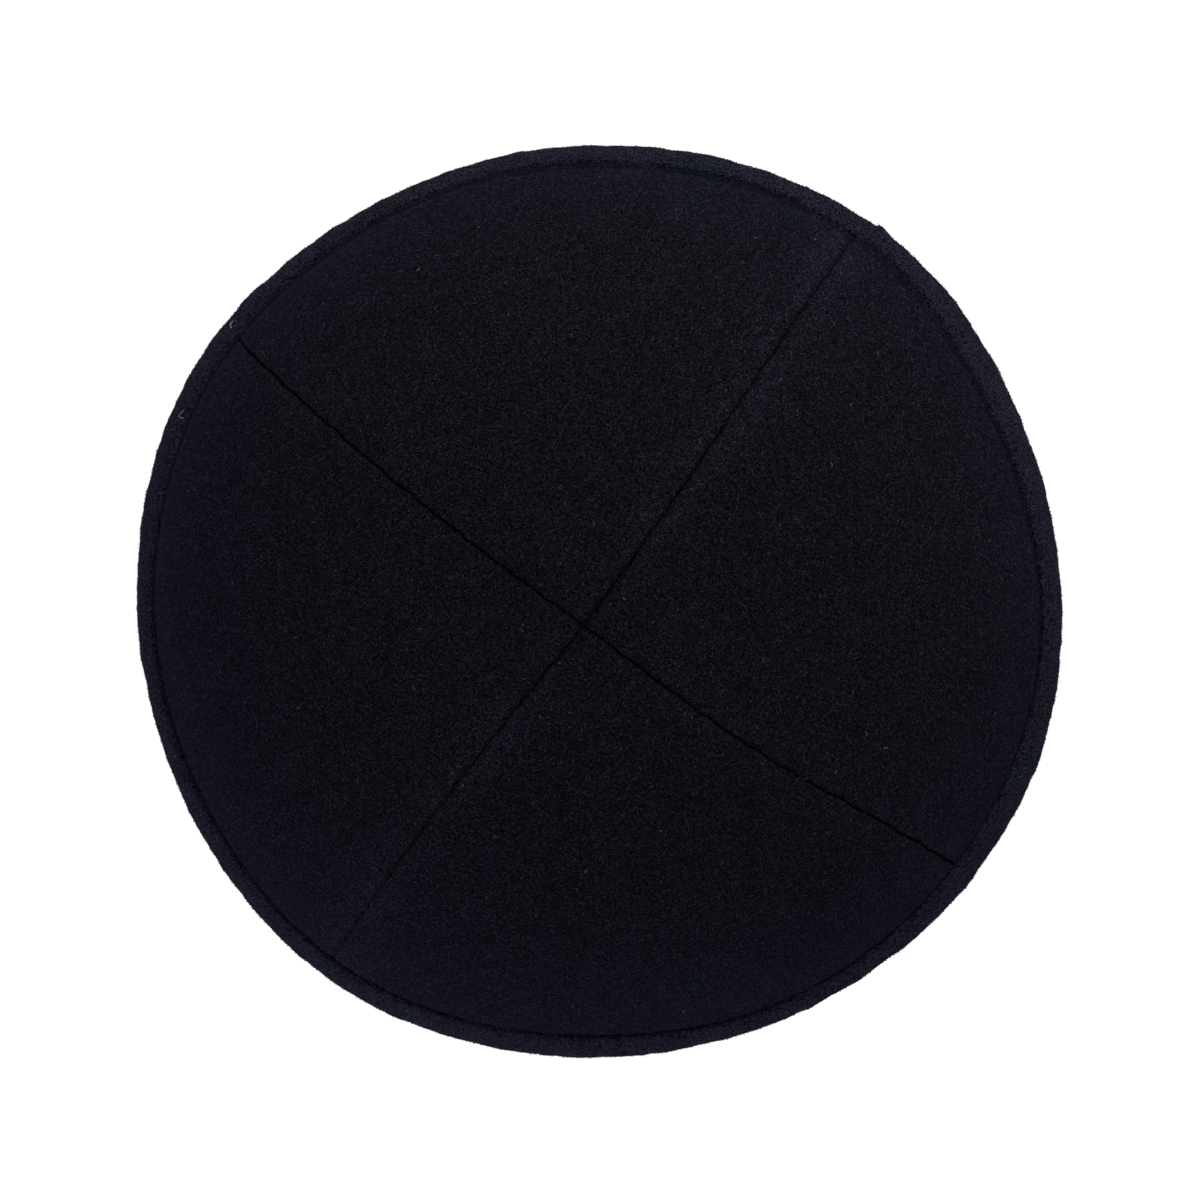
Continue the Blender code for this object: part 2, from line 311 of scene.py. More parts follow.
def fibreMaterial(name, look):
    # Single wool hairs that stand out of the felt. Each has its own tone, from the dye's navy
    # to the grey of a hair that took little dye.
    material, tree, shader = newMaterial(name, look)
    tone = addNode(tree, "ShaderNodeAttribute", attribute_name="hairTone").node.outputs["Fac"]
    few = addNode(tree, "ShaderNodeMath", operation="POWER")
    tree.links.new(tone, few.node.inputs[0])
    few.node.inputs[1].default_value = look["paleRarity"]
    colour = addNode(tree, "ShaderNodeMix", {
        "Factor": few, "A": linearColour(look["darkColour"]),
        "B": linearColour(look["paleColour"])}, data_type="RGBA").node.outputs[2]
    # the dye takes unevenly, so some hairs lean to violet and some to green, whatever their tone
    spread = addNode(tree, "ShaderNodeMath", {"Value": tone}, operation="MULTIPLY")
    spread.node.inputs[1].default_value = dyeSpread
    lean = addNode(tree, "ShaderNodeMath", {"Value": spread}, operation="FRACT")
    dye = addNode(tree, "ShaderNodeMix", {
        "Factor": lean, "A": linearColour(look["violetDye"]),
        "B": linearColour(look["greenDye"])}, data_type="RGBA").node.outputs[2]
    dyed = addNode(tree, "ShaderNodeVectorMath", {"Vector": colour}, operation="MULTIPLY")
    tree.links.new(dye, dyed.node.inputs[1])
    # rubbing lightens the hair, and painted shade darkens it where it dips into a seam or the
    # ditch
    tree.links.new(wornDyedShadedTone(tree, dyed, look["rubbing"]), shader.inputs["Base Color"])
    return material


def threadMaterial(name, look):
    # Twisted polyester sewing thread: a little smoother than wool, so it catches a thin light.
    material, tree, shader = newMaterial(name, look)
    place = addNode(tree, "ShaderNodeTexCoord").node.outputs["Object"]
    twist = addNode(tree, "ShaderNodeTexNoise", {
        "Vector": place, "Scale": 1 / look["twistSize"], "Detail": 1.0})
    colour = addNode(tree, "ShaderNodeMix", {
        "Factor": twist, "A": linearColour(look["darkColour"]),
        "B": linearColour(look["paleColour"])}, data_type="RGBA").node.outputs[2]
    tree.links.new(colour, shader.inputs["Base Color"])
    return material


feltLook = {
    "roughness": 0.95,
    "gloss": 0.02,
    "sheen": 0.13,
    "sheenRoughness": 0.36,
    "sheenColour": "#5c5cac",
    "hollowColour": "#030304",
    "hairColour": "#1b1b23",
    "grainSize": 0.00036,  # a tuft of felted hair, about a third of a millimetre
    "mottleSize": 0.0060,
    "mottle": 0.12,
    "relief": 0.9,
    "rubbing": 0.36,
}
# the band's felt is lighter than the crown's: partly its hair, roughed up by wear, and partly
# painted light for the light its slanted face catches
bandLook = dict(feltLook, sheen=0.18, sheenRoughness=0.28, hollowColour="#020203",
                hairColour="#30313e")
napLook = {
    "roughness": 0.9,
    "gloss": 0.02,
    "sheen": 0.14,
    "sheenRoughness": 0.38,
    "sheenColour": "#5c5cac",
    "darkColour": "#0d0d12",
    "paleColour": "#393844",
    "paleRarity": 2.0,
    "violetDye": "#ffdce6",
    "greenDye": "#e0ffec",
    "rubbing": 0.36,
}
fleckLook = dict(napLook, darkColour="#1c1c22", paleColour="#626268", paleRarity=3.0)
lintLook = dict(napLook, darkColour="#747478", paleColour="#747478",
                violetDye="#ffffff", greenDye="#ffffff", rubbing=0.0)
looseLook = dict(lintLook, darkColour="#3a3a42", paleColour="#3a3a42")
noSheen = {"sheen": 0.0, "sheenRoughness": 0.5, "sheenColour": "#ffffff"}
threadLook = dict(noSheen, roughness=0.6, gloss=0.12, twistSize=0.0004, darkColour="#08080c",
                  paleColour="#15151c")

crownFelt = feltMaterial("Milled wool felt, crown", feltLook)
# the crown's felt with its sheen taken out, as painted shade on the faces turned down into seams
seamShadeFelt = feltMaterial("Milled wool felt, sheenless as painted seam shade", dict(feltLook, sheen=0.0))
bandFelt = feltMaterial("Milled wool felt, rim band", bandLook)
napFibre = fibreMaterial("Wool nap", napLook)
fleckFibre = fibreMaterial("Undyed wool hair", fleckLook)
lintFibre = fibreMaterial("White cotton lint", lintLook)
looseFibre = fibreMaterial("Loose grey thread end", looseLook)
sewingThread = threadMaterial("Polyester sewing thread", threadLook)
print("materials made")

# Crown panels

panel = {
    "names": ["back", "left", "front", "right"],  # each starts at the seam of the same place
    "sideTilt": 58,  # degrees that the crown's side leans near the rim
    "slotWidth": 0.00022,  # the dark line where the two edges turn down side by side
    "slotDepth": 0.0009,
    "slotRhythm": 0.0045,  # felt closes over a seam here and there, so the line comes and goes
    "slotMiddle": 0.75,
    "slotSwing": 0.9,
    "slotTurns": 0.35,  # share of the way where slotInside starts to give way to slotOutside
    "slotTurnLength": 0.5,
    "closedRoll": 0.35,  # share of the roll that is left where the line is closed
    "closedShade": 0.6,  # and of the shade
    # the painted shade beside a seam: how much its width swings along the line, and how it fades
    "shadeSwing": 0.5,
    "shadePower": 1.5,
    "rubWidth": 0.0045,
    "rubFull": 0.5,  # share of the way where the rubbing has grown to its full strength
    "rubGrowth": 0.65,
    "rubEnd": 0.05,
    "rubSize": 0.012,
    "rubSwing": 0.6,
    "allowance": 0.0050,  # second layer inside, along each seam
    "allowanceCloth": 0.0011,
    "allowanceEdge": 0.0004,
    "innerRoll": 0.0006,
    "innerRollWidth": 0.0011,
    "boundGap": 0.0006,  # from the band's inner edge up to where the allowances begin
    "boundRamp": 0.0030,
    "ditchDepth": 0.00028,  # the band's stitches pull the crown in
    "ditchWidth": 0.0008,
    # painted shade along the ditch beside the band's edge: how dark and how wide
    "ditchShade": 0.42,
    "ditchShadeWidth": 0.00036,
    "ditchBare": 0.15,  # share of the hair that the stitches pull under
    "leastCloth": 0.00012,  # what is left of it at the bottom of a seam
    "pucker": 0.00012,  # ripples that the seam's stitches draw up
    "puckerLength": 0.0055,
    "puckerBegins": 0.0012,
    "puckerReach": 0.004,
    "softness": 0.00030,  # slow unevenness of steamed felt
    "softnessSize": 0.0300,
    "softnessBegins": 0.010,
    "napBegins": 0.0003,  # from a seam
    "napUnder": 0.0012,  # how far the hair goes on under the band
    "napRamp": 0.0004,
    "innerNap": 0.10,
    "openRows": 72,
    "rimRows": 26,
    "rimStart": 0.90,
    "columns": 60,
    "nearSeam": [0, 0.00007, 0.00014, 0.0003, 0.0005, 0.0008, 0.0011, 0.0015, 0.0021, 0.0029,
                 0.0038, 0.0045, 0.0049, 0.0051, 0.0054],
    "squeezeUnder": 2.6,  # a row narrower than this many crowded parts squeezes them
    "leastWidth": 0.000001,
    # these columns, and the seam edges, get the sheenless felt as painted shade
    "deepColumns": 3,  # columns beside a seam that lie down in it
}

band = {
    "reach": 0.0053,
    "innerReach": 0.0070,
    "reachWaves": [(1, 0.06, 301), (2, 0.10, 31), (3, 0.09, 9), (4, 0.05, 49), (5, 0.06, 27),
                   (6, 0.09, 20)],
    "puff": 0.0001,
    "edgeStep": 0.0006,  # how far its stitched edge stands over the crown
    "shoulder": 0.0005,  # width over which that edge is rounded
    "lapLength": 0.0240,
    "lapRamp": 0.0050,
    "lapRise": 0.0004,
    "lapEndFace": 0.0004,
    "lapAzimuth": 44.8,
    "lapTuft": 0.0003,  # the lapped end stands up a little where it is cut
    "lapTuftLength": 0.0012,
    "lapTight": 0.12,  # share by which the lap is narrower
    "lapJog": 0.004,
    "shoulderPower": 2.2,
    "swellPower": 0.9,
    "edgeEase": 0.0025,  # width over which the band settles into the ditch
    "ditchRest": 0.00003,
    "fullAt": 1.6,  # the fullness is whole once this times the rise is 1
    "edgeCalm": 0.4,  # share of the fullness that the stitches take away
    "downSteps": [0, 0.02, 0.06, 0.12, 0.2, 0.32, 0.5, 0.75, 1.1, 1.5, 2.0, 2.6, 3.3, 4.1,
                  4.8],  # millimetres down from the stitched edge, crowded at its shoulder
    "innerNap": 0.15,
    "bareFoot": 0.0005,  # the foot that the cap rests on has no hair
    "bareFootRamp": 0.0008,
    "stations": 960,
    "bumps": 0.00022,  # small fullness between stitches
    "bumpSize": 0.0045,
    "bumpRise": 0.6,  # bumps are longer up the slope than round the rim
    "grit": 0.00013,
    "gritSize": 0.0020,
    "sway": 0.00020,
    "swaySize": 0.0180,
}
thread = {"Spacing": 0.0050, "Length": 0.0034, "Thread Radius": 0.00016, "Rise": 0.00010}
stitch = {
    "sunk": 0.00025,  # how far its ends go down into the felt
    "aboveEdge": 0.0003,  # from the band's edge up to the row
    "floor": 0.00025,  # the row lies this far under the dome, in the ditch
    "pull": 0.00016,  # how far each stitch draws the band's edge in
    "pathPoints": 720,
}
lapEnd = math.radians(band["lapAzimuth"])


def bandReach(azimuth):
    # narrower over the lap, which is pulled tight, with a jog where the lap begins
    behind = (lapEnd - azimuth) * cap["rimRadius"]
    lapped = smoothStep(behind / band["lapJog"]) * smoothStep(
        (band["lapLength"] - behind) / band["lapJog"])
    return band["reach"] * (
        1 + waveSum(band["reachWaves"], azimuth) - band["lapTight"] * lapped)


def inDitch(fromRim, azimuth, width):
    # 1 in the ditch beside the band's edge and 0 away from it, at a distance up from the rim
    return np.exp(-(((fromRim - bandReach(azimuth)) / width) ** 2))


def ditchDip(fromRim, azimuth):
    return panel["ditchDepth"] * inDitch(fromRim, azimuth, panel["ditchWidth"])


def panelColumns(width):
    # places across a panel, crowded at its seams, for rows of these widths
    near = np.array(panel["nearSeam"])
    squeeze = np.minimum(1, width / (panel["squeezeUnder"] * near[-1]))[:, None]
    left = near * squeeze
    right = width[:, None] - left[:, ::-1]
    middle = np.linspace(0, 1, panel["columns"] + 1)[1:-1]
    span = right[:, :1] - left[:, -1:]
    return np.concatenate([left, left[:, -1:] + span * middle, right], axis=1)


def wrapFaces(rows, columns):
    # faces of a closed panel: outer grid, inner grid, two seam edges and the rim edge, and
    # which of them lie down in a seam and get the sheenless felt as painted shade
    faces, inner, inSeamShade = [], rows * columns, []
    for row in range(rows - 1):
        for column in range(columns - 1):
            here = row * columns + column
            below = here + columns
            faces.append((here, below, below + 1, here + 1))
            faces.append((inner + here, inner + here + 1, inner + below + 1, inner + below))
            deep = min(column, columns - 2 - column) < panel["deepColumns"]
            inSeamShade += [int(deep), 0]
        first, last = row * columns, row * columns + columns - 1
        faces.append((first, inner + first, inner + first + columns, first + columns))
        faces.append((last, last + columns, inner + last + columns, inner + last))
        inSeamShade += [1, 1]
    for column in range(columns - 1):
        here = (rows - 1) * columns + column
        faces.append((here, inner + here, inner + here + 1, here + 1))
        inSeamShade.append(0)
    return faces, inSeamShade


def panelPlaces(index):
    # a panel's rows from the apex to the rim, and its places across each row
    upper = np.linspace(0, panel["rimStart"], panel["openRows"] + 1)
    lower = np.linspace(panel["rimStart"], 1, panel["rimRows"] + 1)[1:]
    share = np.concatenate([upper, lower])[:, None]
    first, last = seamAzimuth(index, share), seamAzimuth(index + 1, share)
    width = share * edgeRadius((first + last) / 2) * (last - first)
    width = np.maximum(width, panel["leastWidth"])
    place = panelColumns(width[:, 0])
    azimuth = first + (last - first) * place / width
    x, y = planPoints(share, azimuth)
    side = math.cos(math.radians(panel["sideTilt"]))
    seam = np.where(place < width / 2, index, (index + 1) % 4)
    share = share + 0 * place
    return {
        "share": share, "azimuth": azimuth, "seam": seam, "pastMiddle": place > width / 2,
        "surface": crownPoints(x, y), "normals": crownNormals(x, y),
        "fromSeam": np.minimum(place, width - place),
        "fromRim": (1 - share) * edgeRadius(azimuth) / side,
        "alongLine": np.stack([share * cap["rimRadius"], seam * 0.3, 0 * place], axis=-1),
    }


def ofSeam(at, key):
    # what the table of seams says of the nearer seam
    return np.array([seam[key] for seam in seams])[at["seam"]]


def turnedDown(fromSeam, width, depth):
    # how deep cloth lies that rolls down round an edge
    turn = np.clip(1 - fromSeam / width, 0, 1)
    return depth * (1 - np.sqrt(1 - turn ** 2))


def panelOutside(index, at):
    # how deep the felt lies under the dome, and how far its dark lines stand open
    share, fromSeam = at["share"], at["fromSeam"]
    slotInside, slotOutside = ofSeam(at, "slotInside"), ofSeam(at, "slotOutside")
    slot = slotInside + (slotOutside - slotInside) * smoothStep(
        (share - panel["slotTurns"]) / panel["slotTurnLength"])
    depth = turnedDown(fromSeam, ofSeam(at, "rollWidth"), ofSeam(at, "rollDepth"))
    depth = depth * (panel["closedRoll"] + (1 - panel["closedRoll"]) * slot)
    slot = slot * smoothStep(panel["slotMiddle"] + panel["slotSwing"] * lumps(
        at["alongLine"], panel["slotRhythm"], 9))
    depth = depth + panel["slotDepth"] * slot * (1 - smoothStep(fromSeam / panel["slotWidth"]))
    depth = depth + ditchDip(at["fromRim"], at["azimuth"])
    alongSeam = np.stack(
        [share * 0.095, fromSeam * 0.5, index + 4.0 * at["pastMiddle"]], axis=-1)
    ripple = lumps(alongSeam, panel["puckerLength"], 11 + index)
    ripple = ripple * np.exp(-fromSeam / panel["puckerReach"])
    ripple = ripple * smoothStep(fromSeam / panel["puckerBegins"]) * smoothStep(share * 4)
    slow = lumps(at["surface"], panel["softnessSize"], 3) * smoothStep(share * 3)
    slow = slow * smoothStep(fromSeam / panel["softnessBegins"])
    return depth + panel["pucker"] * ripple + panel["softness"] * slow, slot


def panelInside(at):
    # how deep its inner face lies, and where it is clear of the band: the allowances double
    # the cloth along the seams
    fromSeam = at["fromSeam"]
    clear = smoothStep(
        (at["fromRim"] - band["innerReach"] - panel["boundGap"]) / panel["boundRamp"])
    doubled = clear * smoothStep(
        (panel["allowance"] + panel["allowanceEdge"] / 2 - fromSeam) / panel["allowanceEdge"])
    inward = cap["cloth"] + panel["allowanceCloth"] * doubled
    inward = inward - clear * turnedDown(fromSeam, panel["innerRollWidth"], panel["innerRoll"])
    return inward, clear


def panelMarks(at, slot, clear):
    # where hair grows, where the felt is rubbed and where painted shade darkens it, outside and
    # inside
    share, fromSeam, fromRim, azimuth = [
        at[key] for key in ("share", "fromSeam", "fromRim", "azimuth")]
    # painted shade beside each seam, weaker where the line between the edges is closed
    shade = ofSeam(at, "shade") * (1 + panel["shadeSwing"] * lumps(
        at["alongLine"], panel["slotRhythm"] / 3, 10))
    shadow = ofSeam(at, "shadeDepth") * (
        panel["closedShade"] + (1 - panel["closedShade"]) * slot)
    shadow = shadow * (1 - smoothStep(fromSeam / shade)) ** panel["shadePower"]
    # and painted shade along the ditch beside the band's edge
    shadow = np.maximum(
        shadow, panel["ditchShade"] * inDitch(fromRim, azimuth, panel["ditchShadeWidth"]))
    rubbed = ofSeam(at, "rubbed") * np.exp(-((fromSeam / panel["rubWidth"]) ** 2))
    rubbed = rubbed * smoothStep(1 + (share - panel["rubFull"]) / panel["rubGrowth"])
    rubbed = rubbed * smoothStep((1 - share) / panel["rubEnd"])
    rubbed = rubbed * (1 + panel["rubSwing"] * lumps(at["surface"], panel["rubSize"], 8))
    napShare = smoothStep(fromSeam / panel["napBegins"]) * (
        1 - panel["ditchBare"] * inDitch(fromRim, azimuth, panel["ditchWidth"]))
    napShare = napShare * smoothStep(
        (fromRim - band["reach"] + panel["napUnder"]) / panel["napRamp"])
    return {"napShare": [napShare, panel["innerNap"] * clear],
            "rubbed": [rubbed, 0 * rubbed], "shadow": [shadow, 0 * shadow]}


def makePanel(index):
    at = panelPlaces(index)
    depth, slot = panelOutside(index, at)
    inward, clear = panelInside(at)
    depth = np.minimum(depth, inward - panel["leastCloth"])
    points = np.stack([at["surface"] - at["normals"] * below[..., None]
                       for below in (depth, inward)])
    name = "crown_" + panel["names"][index]
    faces, inSeamShade = wrapFaces(*at["share"].shape)
    made = meshObject(name, points, faces, [crownFelt, seamShadeFelt],
                      panelMarks(at, slot, clear), inSeamShade)
    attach(made, "root")
    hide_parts("crown_panel_" + panel["names"][index])
    return made


panels = [makePanel(index) for index in range(4)]
print("crown panels made:", [len(made.data.polygons) for made in panels])

# Rim band


def lapHeight(azimuth):
    behind = (lapEnd - azimuth) * cap["rimRadius"]
    ramp = smoothStep((band["lapLength"] - behind) / band["lapRamp"])
    cut = smoothStep(behind / band["lapEndFace"])
    tuft = band["lapTuft"] * np.exp(-((behind / band["lapTuftLength"] - 1) ** 2))
    return (band["lapRise"] * ramp + tuft) * cut


def bandSection():
    # The folded strip in section. Each row: distance up the slope, distance out from the wall's
    # middle, and how far the point has risen from the strip's under side to its full thickness.
    reach, inner, half = band["reach"], band["innerReach"], cap["bandCloth"] / 2
    edgeShare = band["edgeStep"] / (foldRadius - cap["cloth"] / 2)
    section = []
    for down in band["downSteps"]:
        place = reach - down / 1000
        turned = 1 - min(down / 1000 / band["shoulder"], 1)
        rounded = math.sqrt(1 - turned ** band["shoulderPower"])
        rise = edgeShare * rounded + (1 - edgeShare) * (1 - place / reach) ** band["swellPower"]
        out = foldRadius + band["puff"] * math.sin(math.pi * place / reach)
        section.append((place, out, rise))
    for turn in np.radians(np.linspace(0, -180, 19)):
        section.append((foldRadius * math.sin(turn), foldRadius * math.cos(turn), 1))
    for share in np.linspace(0.1, 0.9, 7):
        section.append(((inner - half) * share, -foldRadius, 1))
    for turn in np.radians(np.linspace(-90, 90, 7)):
        section.append((inner - half + half * math.cos(turn),
                        -channel - half + half * math.sin(turn), 1))
    section.append((inner / 2, -channel, 1))
    for turn in np.radians(np.linspace(-180, 0, 7)):
        section.append((channel * math.sin(turn), channel * math.cos(turn), 1))
    for share in (0.3, 0.5, 0.6, 0.7, 0.8, 0.9):
        section.append((reach * share, channel, 0))
    return np.array(section)


def bandPoints(azimuth, up, out):
    x, y = planPoints(shareAboveEdge(azimuth, np.maximum(up, 0)), azimuth)
    normals = crownNormals(x, y)
    level = np.cross(normals, [0, 0, 1])
    downSlope = np.cross(normals, level)
    downSlope = downSlope / np.linalg.norm(downSlope, axis=-1, keepdims=True)
    downSlope = downSlope * -np.sign(downSlope[..., 2:])
    points = crownPoints(x, y) + normals * (out - cap["cloth"] / 2)[..., None]
    points = points + downSlope * np.maximum(-up, 0)[..., None]
    return points


def bandStations():
    # azimuths round the rim, crowded at the cut end of the lap
    turns = np.linspace(-math.pi, math.pi, band["stations"], endpoint=False)
    face = band["lapEndFace"] / cap["rimRadius"]
    return np.sort(np.append(turns, lapEnd + face * np.array([-1, -0.75, -0.5, -0.25, 0])))


def tubeFaces(stations, around):
    faces = []
    for station in range(stations):
        here, following = station * around, (station + 1) % stations * around
        for step in range(around):
            after = (step + 1) % around
            faces.append((here + step, here + after, following + after, following + step))
    return faces


def makeBand():
    section = bandSection()
    azimuth = bandStations()[:, None] + 0 * section[:, 0]
    up, out, rise = [column + 0 * azimuth for column in section.T]
    outside = (out > 0) & (up > 0)
    onCloth = np.abs(out) < channel + weldDistance  # the strip's face against the crown
    inTheHollow = (out < 0) & ~onCloth
    reach = bandReach(azimuth)
    up = np.where(outside, up * reach / band["reach"], up)

    # the stitched edge lies in the ditch; from there the strip swells to its full thickness
    nearEdge = smoothStep((up - reach + band["edgeEase"]) / band["edgeEase"])
    ditch = cap["cloth"] / 2 - ditchDip(up, azimuth) + band["ditchRest"]
    under = channel + (ditch - channel) * nearEdge
    wave = 0.5 + 0.5 * np.cos(2 * math.pi * azimuth * cap["rimRadius"] / thread["Spacing"])
    full = out + lapHeight(azimuth) - stitch["pull"] * wave * nearEdge
    out = np.where(outside, under + (full - under) * rise, out)
    swelling = np.minimum(rise * band["fullAt"], 1) * (1 - band["edgeCalm"] * nearEdge)
    swelling = np.where(onCloth, 0, np.where(outside, swelling, 1))
    ring = np.stack([cap["rimRadius"] * np.cos(azimuth), cap["rimRadius"] * np.sin(azimuth),
                     band["bumpRise"] * up], axis=-1)
    fullness = (band["bumps"] * lumps(ring, band["bumpSize"], 21)
                + band["sway"] * lumps(ring, band["swaySize"], 22)
                + band["grit"] * lumps(ring, band["gritSize"], 23)) * swelling
    fold = np.where(up < 0, 1 + fullness / foldRadius, 1)
    up = up * fold
    lapOut = np.where(up < 0, lapHeight(azimuth) * np.clip(out / foldRadius, 0, 1) * swelling, 0)
    out = np.where(up < 0, out * fold + lapOut, out + fullness * np.sign(out))
    points = bandPoints(azimuth, up, out)
    points[..., 2] = np.maximum(points[..., 2], 0)

    napShare = np.where(onCloth, 0, np.minimum(rise * 2, 1))
    napShare = np.where(inTheHollow, band["innerNap"], napShare)
    napShare = napShare * smoothStep((points[..., 2] - band["bareFoot"]) / band["bareFootRamp"])
    made = meshObject("rim_binding", points, tubeFaces(*azimuth.shape), [bandFelt],
                      {"napShare": napShare})
    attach(made, "root")
    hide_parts("rim_band")
    return made


binding = makeBand()
print("rim band made:", len(binding.data.polygons))

# Felt hair and stitches, by Geometry Nodes

nap = {
    "Density": 9.0e6,  # hairs on a square metre
    "Segments": 1,
    "Length": 0.00062,
    "Width": 0.00010,  # wool is a fifth of this: drawn coarser, so that it shows in the image
    "Rise": 0.0,
    "Bend": 0.0,
    "Tip Height": 0.00014,
    "Lean": 0.20,  # most that a hair tips, in radians
}
bandNap = {**nap, "Tip Height": 0.00016, "Lean": 0.25}
flecks = {**nap, "Density": 5.0e4, "Segments": 3, "Length": 0.0008, "Rise": 0.0002,
          "Bend": 0.0003, "Tip Height": 0.00010, "Lean": 0.35}
rootHeight = -0.00002
leastHair = (0.35, 0.1, 0.3)  # its length, width and height, as shares of the settings
mostHair = (1.3, 1.5, 1.6)


def newTree(name, inputs):
    tree = bpy.data.node_groups.new(name, "GeometryNodeTree")
    tree.interface.new_socket("Geometry", in_out="INPUT", socket_type="NodeSocketGeometry")
    for label, kind in inputs.items():
        tree.interface.new_socket(label, in_out="INPUT", socket_type="NodeSocket" + kind)
    tree.interface.new_socket("Geometry", in_out="OUTPUT", socket_type="NodeSocketGeometry")
    return tree, tree.nodes.new("NodeGroupInput").outputs


def endTree(tree, instances, finish):
    real = addNode(tree, "GeometryNodeRealizeInstances", {"Geometry": instances})
    dyed = addNode(tree, "GeometryNodeSetMaterial", {"Geometry": real, "Material": finish})
    addNode(tree, "NodeGroupOutput", {"Geometry": dyed})
    return tree


def addArch(tree, length, heights, middle, resolution):
    # a curve of that length along X, between ends at two heights
    ends = []
    for side, height in zip((-0.5, 0.5), heights):
        along = addNode(tree, "ShaderNodeMath", {"Value": length}, operation="MULTIPLY")
        along.node.inputs[1].default_value = side
        ends.append(addNode(tree, "ShaderNodeCombineXYZ", {"X": along, "Z": height}))
    return addNode(tree, "GeometryNodeCurveQuadraticBezier", {
        "Resolution": resolution, "Start": ends[0], "Middle": middle, "End": ends[1]})


def hairTree():
    # narrow ribbons, strewn on a surface and turned every way
    tree, given = newTree("Felt hair", {
        "Density": "Float", "Segments": "Int", "Length": "Float", "Width": "Float",
        "Rise": "Float", "Bend": "Float", "Tip Height": "Float", "Lean": "Float",
        "Seed": "Int", "Finish": "Material"})
    share = addNode(tree, "GeometryNodeInputNamedAttribute", {"Name": "napShare"},
                    data_type="FLOAT")
    density = addNode(tree, "ShaderNodeMath", operation="MULTIPLY").node
    tree.links.new(share, density.inputs[0])
    tree.links.new(given["Density"], density.inputs[1])
    roots = addNode(tree, "GeometryNodeDistributePointsOnFaces", {
        "Mesh": given["Geometry"], "Density": density.outputs[0], "Seed": given["Seed"]}).node
    tone = addNode(tree, "FunctionNodeRandomValue", {"Seed": 5}, data_type="FLOAT")
    toned = addNode(tree, "GeometryNodeStoreNamedAttribute", {
        "Geometry": roots.outputs["Points"], "Name": "hairTone", "Value": tone})

    middle = addNode(tree, "ShaderNodeCombineXYZ", {"Y": given["Bend"], "Z": given["Rise"]})
    arch = addArch(tree, given["Length"], (rootHeight, given["Tip Height"]), middle, 6)
    # the curve node makes no fewer than three segments, so they are thinned afterwards
    points = addNode(tree, "ShaderNodeMath", {"Value": given["Segments"]}, operation="ADD")
    points.node.inputs[1].default_value = 1.0
    plain = addNode(tree, "GeometryNodeResampleCurve", {"Curve": arch, "Count": points},
                    mode="COUNT")
    flat = addNode(tree, "GeometryNodeSetCurveNormal", {"Curve": plain}, mode="Z_UP")
    across = addNode(tree, "ShaderNodeCombineXYZ", {"X": given["Width"]})
    blade = addNode(tree, "GeometryNodeCurvePrimitiveLine", {"End": across})
    ribbon = addNode(tree, "GeometryNodeCurveToMesh", {"Curve": flat, "Profile Curve": blade})

    tip = addNode(tree, "ShaderNodeCombineXYZ", {
        "X": given["Lean"], "Y": given["Lean"], "Z": math.pi})
    back = addNode(tree, "ShaderNodeVectorMath", {"Vector": tip, "Scale": -1.0},
                   operation="SCALE")
    turn = addNode(tree, "FunctionNodeRandomValue", {"Min": back, "Max": tip, "Seed": 6},
                   data_type="FLOAT_VECTOR")
    turning = addNode(tree, "FunctionNodeEulerToRotation", {"Euler": turn})
    turned = addNode(tree, "FunctionNodeRotateRotation", {
        "Rotation": roots.outputs["Rotation"], "Rotate By": turning}, rotation_space="LOCAL")
    size = addNode(tree, "FunctionNodeRandomValue", {
        "Min": leastHair, "Max": mostHair, "Seed": 7}, data_type="FLOAT_VECTOR")
    hairs = addNode(tree, "GeometryNodeInstanceOnPoints", {
        "Points": toned, "Instance": ribbon, "Rotation": turned, "Scale": size})
    return endTree(tree, hairs, given["Finish"])


def stitchTree():
    # short arcs of thread, one after the other along a path, standing on its surface
    tree, given = newTree("Stitches", {
        "Spacing": "Float", "Length": "Float", "Thread Radius": "Float", "Rise": "Float",
        "Finish": "Material"})
    path = addNode(tree, "GeometryNodeMeshToCurve", {"Mesh": given["Geometry"]})
    spaced = addNode(tree, "GeometryNodeResampleCurve", {
        "Curve": path, "Length": given["Spacing"]}, mode="LENGTH")
    up = addNode(tree, "GeometryNodeInputNamedAttribute", {"Name": "surfaceNormal"},
                 data_type="FLOAT_VECTOR")
    along = addNode(tree, "GeometryNodeInputTangent")
    facing = addNode(tree, "FunctionNodeAxesToRotation", {
        "Primary Axis": up, "Secondary Axis": along}, primary_axis="Z", secondary_axis="X")
    middle = addNode(tree, "ShaderNodeCombineXYZ", {"Z": given["Rise"]})
    arch = addArch(tree, given["Length"], (-stitch["sunk"], -stitch["sunk"]), middle, 5)
    thick = addNode(tree, "GeometryNodeCurvePrimitiveCircle", {
        "Resolution": 5, "Radius": given["Thread Radius"]})
    arc = addNode(tree, "GeometryNodeCurveToMesh", {
        "Curve": arch, "Profile Curve": thick, "Fill Caps": True})
    stitches = addNode(tree, "GeometryNodeInstanceOnPoints", {
        "Points": spaced, "Instance": arc, "Rotation": facing})
    return endTree(tree, stitches, given["Finish"])


def grownPiece(name, mesh, tree, values):
    made = bpy.data.objects.new(name, mesh)
    bpy.context.scene.collection.objects.link(made)
    modifier = made.modifiers.new("Grown", "NODES")
    modifier.node_group = tree
    for item in tree.interface.items_tree:
        if item.in_out == "INPUT" and item.name in values:
            modifier[item.identifier] = values[item.name]
    grown = made.evaluated_get(bpy.context.evaluated_depsgraph_get())
    plain = bpy.data.meshes.new_from_object(grown)
    made.modifiers.remove(modifier)
    made.data = plain
    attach(made, "root")
    return made


